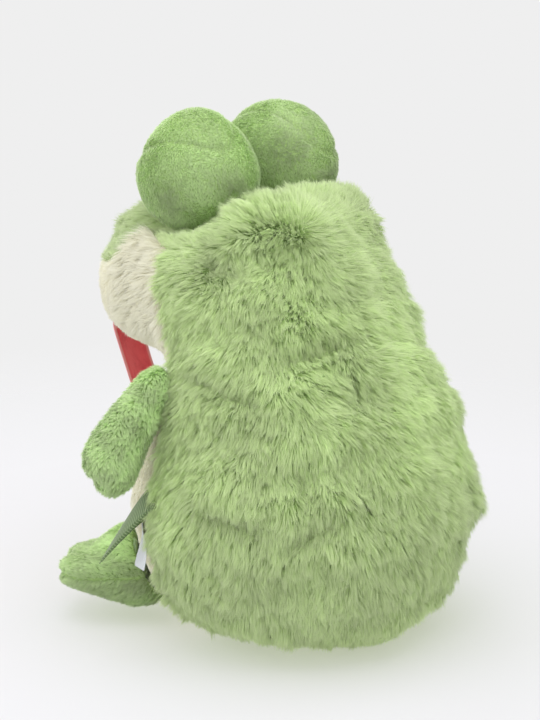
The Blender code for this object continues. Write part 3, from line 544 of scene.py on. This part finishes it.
flow = flow + 0.25 * drift(where, 0.030, 6) + 0.12 * drift(where, 0.010, 7)
fluff = cheek_fluff(where) * cheek[:, 0]
length = CREAM_LENGTH + CREAM_EXTRA * fluff - 0.0008 * np.exp(-gap / 0.0025)
tone = 0.5 + 0.10 * drift(where, 0.04, 8, 1)[:, 0]
grow("cream_pile", 4, "body", cream_pile, where, out, flow, length, 0.95 - 0.35 * fluff,
     1.42, tone, CREAM_WIDTH, rows=2, per_tuft=18, pull=0.12 + 0.16 * fluff[:, None, None], level=0.82,
     mottle=0.6)

# The eyes
# Two stuffed balls in short velvety pile, each sewn from a lid over a lower wrap and set down into the head.
# The pile is brushed different ways in patches, and at a few spots it is also painted darker, as painted
# shade.
EYE_PILE_COUNT, EYE_PILE_LENGTH, EYE_PILE_WIDTH = 96000, 0.0023, 0.00030
EYE_PILE_FOOT, WHITE_MARGIN, SHORT_NET_CELL, SHORT_SEAM_REACH = 0.207, 0.0024, 0.0016, 0.0016
SHORT_GREEN_TONES = ((0.48, 0.68, 0.27), (0.64, 0.81, 0.41), (0.75, 0.885, 0.55))
short_green_pile = pile_material("short_green_pile", *SHORT_GREEN_TONES, 0.67, 1.25, sheen=0.75)


def short_pile_skin(name, nodes, body, inset, groove, core=None, from_seam=None, crest=None):
    """The skin of a small stuffed piece, drawn in along its seams."""
    points, quads = outer_form(nodes, SHORT_NET_CELL, 2, core)
    trees = trees_of(nodes[:2])
    gap = nearest_panels(points, trees)[1] if from_seam is None else np.abs(from_seam(points))
    sunk = inset + groove * np.exp(-((gap / SHORT_SEAM_REACH) ** 2))
    skin = points - normals_of(points, quads) * soften(sunk, quads, 1)[:, None]
    if crest is not None:
        skin = skin + crest(skin)
    skin = soften(skin, quads, 1)
    obj = cloth_mesh(name, skin, quads, green_backing, body)
    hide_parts(*nodes)
    return skin, quads, normals_of(skin, quads), trees


def above_lid_seam(points):
    """How high each place is above the lid's seam, which drops on the outer side, behind and in front."""
    side, back = np.abs(points[:, 0]) - 0.055, points[:, 1] + 0.053
    return points[:, 2] - (0.2628 - 0.335 * side - 0.0075 * (back / 0.0235) ** 2)


# Spots on each eye where the pile is brushed another way; their colour is also darkened, as painted shade.
BRUSHED_AND_SHADED_SPOTS = {
    1: ((0.060, -0.050, 0.236), (0.038, -0.020, 0.240)),
    -1: ((-0.012, -0.028, 0.256), (-0.030, -0.020, 0.236)),
}
for side, sign in SIDES:
    nodes = [f"eye_lid_{side}", f"eye_wrap_{side}", f"eye_stuffing_{side}"]
    skin, quads, normals, _ = short_pile_skin(f"eye_skin_{side}", nodes, "body", inset=-0.0002,
                                              groove=0.0013, core=eye_cores[side], from_seam=above_lid_seam)
    where, out, _ = scatter(skin, quads, normals, EYE_PILE_COUNT)
    white = trees_of([f"eye_white_{side}"])[f"eye_white_{side}"]
    from_white = np.array([white.find_nearest(place)[3] for place in where.tolist()])
    keep = (from_white > WHITE_MARGIN) & (where[:, 2] > EYE_PILE_FOOT)
    where, out = where[keep], out[keep]
    height = above_lid_seam(where)
    lid = np.clip(height / 0.004, 0, 1)
    patch = drift(where, 0.034, 11 + sign, 3)
    brushed_and_shaded = sum(near_line(where, (spot, spot), 0.009) for spot in BRUSHED_AND_SHADED_SPOTS[sign])
    flow = np.array([0.25 * sign, 0.55, -0.55]) + 0.7 * patch + 0.20 * drift(where, 0.008, 15 + sign)
    flow = flow + 1.2 * brushed_and_shaded[:, None] * drift(where, 0.012, 19 + sign)
    # At the brushed spots the tone is lowered: painted shade for the dark that the turned pile shows.
    tone = 0.56 - 0.14 * (sign < 0) + 0.10 * patch[:, 0] - 0.02 * lid - 0.52 * brushed_and_shaded
    tone = tone - 0.25 * np.exp(-((height / 0.0012) ** 2))
    tone = tone + chance.normal(0, 0.17, len(where)) * (1 - 0.7 * lid)
    length = EYE_PILE_LENGTH - 0.0007 * np.exp(-np.abs(height) / 0.0010)
    grow(f"eye_pile_{side}", 2, "body", short_green_pile, where, out, flow, length,
         0.75 + 0.25 * lid, 1.30, tone, EYE_PILE_WIDTH, rows=2, per_tuft=6,
         pull=0.18 - 0.12 * lid[:, None, None], level=0.84, mottle=0.40)

# The arms
# Each is a narrow stuffed tube of two halves in short pile, flattened to a mitt of a small and a broad lobe.
# Its open end is sewn to the side of the bag, and the arm turns about that line of stitches.
ARM_PILE_COUNT, ARM_PILE_LENGTH, LIMB_PILE_WIDTH = 44000, 0.0040, 0.00034
for side, sign in SIDES:
    body = f"arm_{side}"
    nodes = [f"{body}_back_half", f"{body}_front_half", f"{body}_stuffing"]
    skin, quads, normals, trees = short_pile_skin(f"{body}_skin", nodes, body, inset=0.0020,
                                                  groove=0.0012)
    where, out, _ = scatter(skin, quads, normals, ARM_PILE_COUNT)
    _, gap = nearest_panels(where, trees)
    flow = np.array([0.45 * sign, 0.0, -0.9])
    flow = flow + 0.45 * drift(where, 0.018, 21 + sign) + 0.2 * drift(where, 0.007, 23)
    tone = 0.66 + 0.16 * drift(where, 0.016, 25 + sign, 1)[:, 0]
    length = ARM_PILE_LENGTH - 0.0012 * np.exp(-gap / 0.0016)
    grow(f"{body}_pile", 1, body, short_green_pile, where, out, flow, length, 0.55, 1.15, tone,
         LIMB_PILE_WIDTH, rows=2, per_tuft=11, pull=0.32, level=0.76, mottle=0.8)

# The legs
# Short stuffed legs of an upper and a sole half, sewn to the front of the bag at the seat. The pile fans away
# from the seam round the foot, and the top of the foot is painted paler, as a painted highlight from above.
INSTEP, INSTEP_HEIGHT, INSTEP_REACH = (0.066, -0.081, 0.047), 0.0060, 0.014
LEG_PILE_COUNT, LEG_PILE_LENGTH = 56000, 0.0038


def instep_rise(points):
    """The stuffing stands up in a soft mound behind the toes."""
    mirrored = np.abs(points) * (1, 0, 0) + points * (0, 1, 1)
    mound = near_line(mirrored, (INSTEP, INSTEP), INSTEP_REACH)[:, None]
    return INSTEP_HEIGHT * mound * np.array([0.15, 0.0, 1.0])


for side, sign in SIDES:
    body = f"leg_{side}"
    nodes = [f"{body}_upper_half", f"{body}_sole_half", f"{body}_stuffing"]
    skin, quads, normals, trees = short_pile_skin(f"{body}_skin", nodes, body, inset=0.0024,
                                                  groove=0.0011, crest=instep_rise)
    where, out, _ = scatter(skin, quads, normals, LEG_PILE_COUNT)
    half, gap = nearest_panels(where, trees)
    fan = np.where(half == 0, 1.0, -1.0) * np.exp(-gap / 0.008)
    flow = np.array([0.62 * sign, -0.55, 0.0]) + fan[:, None] * UP * 0.9
    flow = flow + 0.35 * drift(where, 0.018, 31 + sign) + 0.2 * drift(where, 0.007, 33)
    tone = 0.52 + 0.13 * drift(where, 0.018, 35 + sign, 1)[:, 0] - 0.14 * (half == 1)
    # Painted highlight: the pile is paler on top of the foot, where the light from above falls.
    tone = tone + 0.34 * np.clip((where[:, 2] - 0.036) / 0.010, 0, 1)
    length = LEG_PILE_LENGTH - 0.0006 * np.exp(-gap / 0.0016)
    grow(f"{body}_pile", 1, body, short_green_pile, where, out, flow, length, 0.60, 1.22, tone,
         LIMB_PILE_WIDTH, rows=2, per_tuft=9, pull=0.24, mottle=0.7)

# The eye whites and pupils
# An oval of white felt is sewn to the front of each eye, and on it a pupil of black thread in close satin
# stitches. They are guessed, as a plain frog's eyes.
def add_node(material, kind, links=(), **values):
    """A shader node with its values set, linked from other nodes: links are (from socket, input name)."""
    made = material.node_tree.nodes.new(kind)
    for key, value in values.items():
        if key in made.inputs:
            made.inputs[key].default_value = value
        elif key.replace("_", " ") in made.inputs:
            made.inputs[key.replace("_", " ")].default_value = value
        else:
            setattr(made, key, value)
    for source, target in links:
        material.node_tree.links.new(source, made.inputs[target])
    return made


def felt(name, dark, light):
    """Pressed felt: tangled fibres, paler where they stand up, with a soft nap."""
    material = bpy.data.materials.new(name)
    material.use_nodes = True
    links = material.node_tree.links
    shader = material.node_tree.nodes["Principled BSDF"]
    shader.inputs["Roughness"].default_value = 0.92
    shader.inputs["Sheen Weight"].default_value = 0.35
    place = add_node(material, "ShaderNodeTexCoord").outputs["Object"]
    fibre = add_node(material, "ShaderNodeTexNoise", [(place, "Vector")], Scale=700, Detail=6, Distortion=1.6)
    cloud = add_node(material, "ShaderNodeTexNoise", [(place, "Vector")], Scale=90, Detail=2)
    both = add_node(material, "ShaderNodeMath", [(fibre.outputs["Fac"], 0), (cloud.outputs["Fac"], 1)])
    ramp = add_node(material, "ShaderNodeValToRGB", [(both.outputs["Value"], "Fac")])
    ramp.color_ramp.elements[0].position = 0.75
    ramp.color_ramp.elements[0].color = (*dark, 1)
    ramp.color_ramp.elements[1].position = 1.0
    ramp.color_ramp.elements[1].color = (*light, 1)
    links.new(ramp.outputs["Color"], shader.inputs["Base Color"])
    bump = add_node(material, "ShaderNodeBump", [(fibre.outputs["Fac"], "Height")], Strength=0.6,
                    Distance=0.0003)
    links.new(bump.outputs["Normal"], shader.inputs["Normal"])
    return material


PATCH_NET_CELL = 0.0004
white_felt = felt("eye_white_felt", (0.74, 0.73, 0.68), (0.90, 0.89, 0.85))
black_thread = bpy.data.materials.new("pupil_thread")
black_thread.use_nodes = True
shader = black_thread.node_tree.nodes["Principled BSDF"]
shader.inputs["Roughness"].default_value = 0.38
place = add_node(black_thread, "ShaderNodeTexCoord").outputs["Object"]
slant = add_node(black_thread, "ShaderNodeMapping", [(place, "Vector")])
slant.inputs["Rotation"].default_value = (0, math.radians(35), 0)
stitch = add_node(black_thread, "ShaderNodeTexWave", [(slant.outputs["Vector"], "Vector")], Scale=420,
                  Distortion=1.5)
ramp = add_node(black_thread, "ShaderNodeValToRGB", [(stitch.outputs["Fac"], "Fac")])
ramp.color_ramp.elements[0].color = (0.004, 0.004, 0.005, 1)
ramp.color_ramp.elements[1].color = (0.030, 0.029, 0.032, 1)
bump = add_node(black_thread, "ShaderNodeBump", [(stitch.outputs["Fac"], "Height")], Strength=0.5,
                Distance=0.0003)
black_thread.node_tree.links.new(ramp.outputs["Color"], shader.inputs["Base Color"])
black_thread.node_tree.links.new(bump.outputs["Normal"], shader.inputs["Normal"])
for side, sign in SIDES:
    patches = (("eye_white", white_felt, "felt_white"), ("pupil", black_thread, "pupil_black"))
    for word, material, slot in patches:
        points, quads = outer_form([f"{word}_{side}"], PATCH_NET_CELL, 3)
        piece = cloth_mesh(f"{word}_{side}_patch", points, quads, material, "body")
        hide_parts(f"{word}_{side}")

# The tongue
# Two layers of felt cut with a round end, pink in front and red behind, turned in at the edge and sewn round.
# It is caught in the mouth seam a little left of the middle, and bows back toward the belly as it hangs.
HINGES = {joint["name"]: np.array(joint["pos_m"]) for joint in frame["record"]["behaviour"]["joints"]}


def ribbon_net(rows, columns, point):
    """A closed thin piece from a function of its share along, its share across from -1 to 1, and its side."""
    count = rows * columns
    points = [point(row / (rows - 1), 2 * column / (columns - 1) - 1, side)
              for side in (1, -1) for row in range(rows) for column in range(columns)]
    faces = []
    for row in range(rows - 1):
        for column in range(columns - 1):
            first = row * columns + column
            face = [first, first + 1, first + columns + 1, first + columns]
            faces.append(face)
            faces.append([corner + count for corner in reversed(face)])
    rim = list(range(columns))
    rim += [row * columns + columns - 1 for row in range(1, rows)]
    rim += [(rows - 1) * columns + column for column in range(columns - 2, -1, -1)]
    rim += [row * columns for row in range(rows - 2, 0, -1)]
    for here, there in zip(rim, rim[1:] + rim[:1]):
        faces.append([there, here, here + count, there + count])
    return np.array(points), faces


def thin_piece(name, rows, columns, point, materials, body):
    """A thin piece of cloth whose UV map is its flat cut. The second material is its back."""
    points, faces = ribbon_net(rows, columns, point)
    mesh = bpy.data.meshes.new(name)
    mesh.from_pydata(points.tolist(), [], faces)
    mesh.shade_smooth()
    for material in materials:
        mesh.materials.append(material)
    cut = mesh.uv_layers.new(name="cut")
    for loop in mesh.loops:
        spot = loop.vertex_index % (rows * columns)
        cut.uv[loop.index].vector = (spot % columns / (columns - 1), spot // columns / (rows - 1))
    for face in mesh.polygons:
        face.material_index = min(len(materials) - 1, int(face.vertices[0] >= rows * columns))
    obj = bpy.data.objects.new(name, mesh)
    bpy.context.scene.collection.objects.link(obj)
    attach(obj, body)
    return obj


def highlit_hem(material, pale):
    """A paler band down both edges: a painted highlight where the turned-in edge catches the light."""
    tree = material.node_tree
    shader = tree.nodes["Principled BSDF"]
    colour = shader.inputs["Base Color"].links[0].from_socket
    place = add_node(material, "ShaderNodeUVMap", uv_map="cut").outputs["UV"]
    split = add_node(material, "ShaderNodeSeparateXYZ", [(place, "Vector")])
    middle = add_node(material, "ShaderNodeMath", [(split.outputs["X"], 0)], operation="SUBTRACT")
    middle.inputs[1].default_value = 0.5
    edge = add_node(material, "ShaderNodeMath", [(middle.outputs["Value"], 0)], operation="ABSOLUTE")
    band = add_node(material, "ShaderNodeMapRange", [(edge.outputs["Value"], "Value")])
    band.inputs["From Min"].default_value, band.inputs["From Max"].default_value = 0.40, 0.45
    mix = add_node(material, "ShaderNodeMix", [(band.outputs["Result"], 0), (colour, 6)], data_type="RGBA")
    mix.inputs[7].default_value = (*pale, 1)
    tree.links.new(mix.outputs[2], shader.inputs["Base Color"])
    return material


# The paler band down each edge of both plies is a painted highlight.
tongue_pink = highlit_hem(felt("tongue_front_felt", (0.80, 0.10, 0.14), (0.92, 0.17, 0.21)), (0.93, 0.36, 0.40))
tongue_red = highlit_hem(felt("tongue_back_felt", (0.78, 0.05, 0.08), (0.92, 0.095, 0.13)), (0.94, 0.36, 0.40))
TONGUE_LENGTH, TONGUE_HALF_WIDTH, TONGUE_HALF_THICKNESS = 0.080, 0.0125, 0.0009
tongue_root = HINGES["tongue_swing"] + np.array([-0.0005, 0.0006, -0.0002])


def tongue_point(along, across, side):
    """The tongue starts inside the mouth seam, bows back and turns as it hangs, and is cupped and rippled."""
    end = max(0.0, (along - 0.80) / 0.20)
    half = TONGUE_HALF_WIDTH * (1 + 0.10 * math.sin(along * 2.6))
    half *= math.sqrt(max(0.0, 1 - 0.965 * end ** 2.4))
    lean = math.radians(9 + 17 * along)
    drop = TONGUE_LENGTH * along
    tucked = math.exp(-((along / 0.07) ** 2))
    middle = tongue_root + np.array([0.0, math.sin(lean) * drop + 0.0058 * tucked, -math.cos(lean) * drop])
    cup = 0.0022 * across ** 2 * math.sin(along * math.pi)
    ripple = 0.0006 * math.sin(9 * along + 1.5 * across)
    rounding = math.sqrt(max(0.0, 1 - across ** 6)) * math.sqrt(max(0.0, 1 - along ** 14))
    plump = TONGUE_HALF_THICKNESS * rounding + 0.00015
    groove = 0.0003 * math.exp(-(((abs(across) - 0.84) / 0.05) ** 2))
    forward = (plump - groove) * side
    turn = math.radians(5 + 15 * along)
    over = np.array([math.cos(turn), math.sin(turn), 0.0])
    return middle + half * across * over + np.array([0.0, -forward + cup - ripple, 0.0])


tongue = thin_piece("tongue_cloth", 60, 25, tongue_point, [tongue_pink, tongue_red], "tongue")
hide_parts("tongue_front", "tongue_back")

# The two labels
# A green woven ribbon folded double and a single white one, both caught in the left side seam. The green one
# twists as it hangs; the white one lies along the belly. Both are bare.
def satin(name, dark, light, lines, slant):
    """Ribbon woven in a twill: fine slanting threads with a soft shine."""
    material = bpy.data.materials.new(name)
    material.use_nodes = True
    shader = material.node_tree.nodes["Principled BSDF"]
    shader.inputs["Roughness"].default_value = 0.42
    place = add_node(material, "ShaderNodeUVMap", uv_map="cut").outputs["UV"]
    split = add_node(material, "ShaderNodeSeparateXYZ", [(place, "Vector")])
    turns = add_node(material, "ShaderNodeMath", [(split.outputs["X"], 0)], operation="MULTIPLY")
    turns.inputs[1].default_value = lines * 2 * math.pi
    rise = add_node(material, "ShaderNodeMath", [(split.outputs["Y"], 0), (turns.outputs["Value"], 2)],
                    operation="MULTIPLY_ADD")
    rise.inputs[1].default_value = slant * 2 * math.pi
    wave = add_node(material, "ShaderNodeMath", [(rise.outputs["Value"], 0)], operation="SINE")
    ramp = add_node(material, "ShaderNodeValToRGB", [(wave.outputs["Value"], "Fac")])
    ramp.color_ramp.elements[0].position = 0.45
    ramp.color_ramp.elements[0].color = (*dark, 1)
    ramp.color_ramp.elements[1].position = 0.95
    ramp.color_ramp.elements[1].color = (*light, 1)
    bump = add_node(material, "ShaderNodeBump", [(wave.outputs["Value"], "Height")], Strength=0.4,
                    Distance=0.0001)
    material.node_tree.links.new(ramp.outputs["Color"], shader.inputs["Base Color"])
    material.node_tree.links.new(bump.outputs["Normal"], shader.inputs["Normal"])
    return material


green_satin = satin("green_satin", (0.085, 0.145, 0.045), (0.33, 0.43, 0.22), 5, 26)
white_satin = satin("white_satin", (0.70, 0.73, 0.77), (0.88, 0.89, 0.91), 14, 0)
LABEL_LENGTH, LABEL_HALF_WIDTH = 0.047, 0.0051
label_root = HINGES["seam_label_flap"] + np.array([-0.0024, 0.0044, 0.0012])
sideways = unit(np.array([0.484, -0.875, 0.0]))


def label_point(along, across, side):
    """The folded ribbon starts inside the seam, droops and twists, and its two layers stand a little open."""
    steps = np.linspace(0, along, 24)
    drops = np.radians(43 + 17 * steps)
    way = np.cos(drops)[:, None] * sideways - np.sin(drops)[:, None] * UP
    middle = label_root + way.mean(axis=0) * along * LABEL_LENGTH
    run = way[-1]
    first = unit(UP - run * (UP @ run))
    turn = math.radians(26 + 62 * along ** 0.7)
    over = math.cos(turn) * first + math.sin(turn) * np.cross(run, first)
    face = np.cross(run, over)
    open_by = 0.0006 * math.sqrt(max(0.0, 1 - along ** 10)) + 0.0016 * (1 - along) ** 2 + 0.0001
    curl = 0.0008 * across ** 2 * math.sin(along * math.pi)
    return middle + over * across * LABEL_HALF_WIDTH * (1 - 0.12 * along) + face * (open_by * side + curl)


label = thin_piece("seam_label_ribbon", 48, 13, label_point, [green_satin], "seam_label")
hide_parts("brand_label")

CARE_LENGTH, CARE_HALF_WIDTH, CARE_HALF_THICKNESS = 0.038, 0.005, 0.00018
care_root = HINGES["care_flap_lift"] + np.array([-0.0016, 0.0010, -0.0030])
belly_way = np.array([-0.292, -0.956, 0.0])


def care_point(along, across, side):
    """The white ribbon hangs straight down along the belly with a slight wave."""
    wave = 0.0012 * math.sin(along * 7.5) * along
    out = np.array([0.956, -0.292, 0.0])
    over = unit(belly_way - out * (0.26 + 0.30 * math.sin(along * 5.0)))
    middle = care_root + out * (0.0022 * along + wave) - UP * CARE_LENGTH * along
    return middle + over * across * CARE_HALF_WIDTH + np.cross(UP, over) * CARE_HALF_THICKNESS * side


care = thin_piece("care_label_ribbon", 40, 9, care_point, [white_satin], "care_flap")
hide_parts("care_label")

# The floor and the light
# A pale sheet of paper lies under the frog, keeps its soft shadow and fades into the background. Its glow is
# painted light that lifts and greens that shadow. Four large lamps stand round it, and the camera looks at
# its back from the left.
FLOOR_SIZE, FADE_START, FADE_END = 6, 0.35, 0.75
bpy.ops.mesh.primitive_plane_add(size=FLOOR_SIZE, location=(0, 0, -0.0002))
floor = bpy.context.object
floor.name = "floor"
paper = bpy.data.materials.new("floor_paper_painted_glow")
paper.use_nodes = True
nodes, links = paper.node_tree.nodes, paper.node_tree.links
shader = nodes["Principled BSDF"]
shader.inputs["Roughness"].default_value = 0.9
shader.inputs["Specular IOR Level"].default_value = 0.1
# Painted light: the paper glows yellow-green over a bluish base, so it reads white where lit and its shadow
# turns pale green.
shader.inputs["Base Color"].default_value = (0.364, 0.336, 0.437, 1)
shader.inputs["Emission Color"].default_value = (0.926, 1.0, 0.748, 1)
shader.inputs["Emission Strength"].default_value = 0.448
clear = nodes.new("ShaderNodeBsdfTransparent")
fade = nodes.new("ShaderNodeMapRange")
fade.inputs["From Min"].default_value = FADE_START
fade.inputs["From Max"].default_value = FADE_END
place = nodes.new("ShaderNodeTexCoord")
reach = nodes.new("ShaderNodeVectorMath")
reach.operation = "LENGTH"
mix = nodes.new("ShaderNodeMixShader")
links.new(place.outputs["Object"], reach.inputs[0])
links.new(reach.outputs["Value"], fade.inputs["Value"])
links.new(fade.outputs["Result"], mix.inputs["Fac"])
links.new(shader.outputs["BSDF"], mix.inputs[1])
links.new(clear.outputs["BSDF"], mix.inputs[2])
links.new(mix.outputs["Shader"], nodes["Material Output"].inputs["Surface"])
floor.data.materials.append(paper)

ROOM_STRENGTH, SCREEN_TONE = 0.70, 0.863
world = bpy.data.worlds.new("studio")
bpy.context.scene.world = world
world.use_nodes = True
nodes, links = world.node_tree.nodes, world.node_tree.links
nodes.clear()
room = nodes.new("ShaderNodeBackground")
room.inputs["Color"].default_value = (1.0, 1.0, 1.0, 1)
room.inputs["Strength"].default_value = ROOM_STRENGTH
screen = nodes.new("ShaderNodeBackground")
screen.inputs["Color"].default_value = (SCREEN_TONE, SCREEN_TONE, SCREEN_TONE, 1)
path = nodes.new("ShaderNodeLightPath")
seen = nodes.new("ShaderNodeMath")
seen.operation = "MAXIMUM"
through = nodes.new("ShaderNodeMath")
through.operation = "MAXIMUM"
pick = nodes.new("ShaderNodeMixShader")
output = nodes.new("ShaderNodeOutputWorld")
links.new(path.outputs["Is Camera Ray"], seen.inputs[0])
links.new(path.outputs["Is Glossy Ray"], seen.inputs[1])
links.new(seen.outputs["Value"], through.inputs[0])
links.new(path.outputs["Is Transmission Ray"], through.inputs[1])
links.new(through.outputs["Value"], pick.inputs["Fac"])
links.new(room.outputs["Background"], pick.inputs[1])
links.new(screen.outputs["Background"], pick.inputs[2])
links.new(pick.outputs["Shader"], output.inputs["Surface"])

LOOK_AT = (0, -0.02, 0.12)
for name, spot, size, power in (
    ("key", (0.10, 0.15, 1.30), 1.3, 10.5),
    ("fill", (0.5, 1.2, 0.7), 1.2, 4.2),
    ("side", (1.0, -0.8, 0.7), 1.2, 7.0),
    ("front", (-0.6, -1.2, 0.7), 1.2, 4.0),
):
    lamp = bpy.data.lights.new(name, "AREA")
    lamp.size = size
    lamp.energy = power
    obj = bpy.data.objects.new(name, lamp)
    bpy.context.scene.collection.objects.link(obj)
    obj.location = spot
    obj.rotation_euler = (Vector(LOOK_AT) - Vector(spot)).to_track_quat("-Z", "Y").to_euler()

lens = bpy.data.cameras.new("camera")
lens.sensor_fit = "VERTICAL"
lens.sensor_height = 24
lens.lens = 53.92
lens.clip_start = 0.01
camera = bpy.data.objects.new("camera", lens)
bpy.context.scene.collection.objects.link(camera)
camera.matrix_world = Matrix((
    (-0.66913061, -0.16717121, 0.72409807, 0.64239),
    (0.74314483, -0.15052164, 0.65198083, 0.54697),
    (0.0, 0.97437006, 0.22495105, 0.34176),
    (0.0, 0.0, 0.0, 1.0),
))
bpy.context.scene.camera = camera
bpy.context.scene.view_settings.view_transform = "Standard"
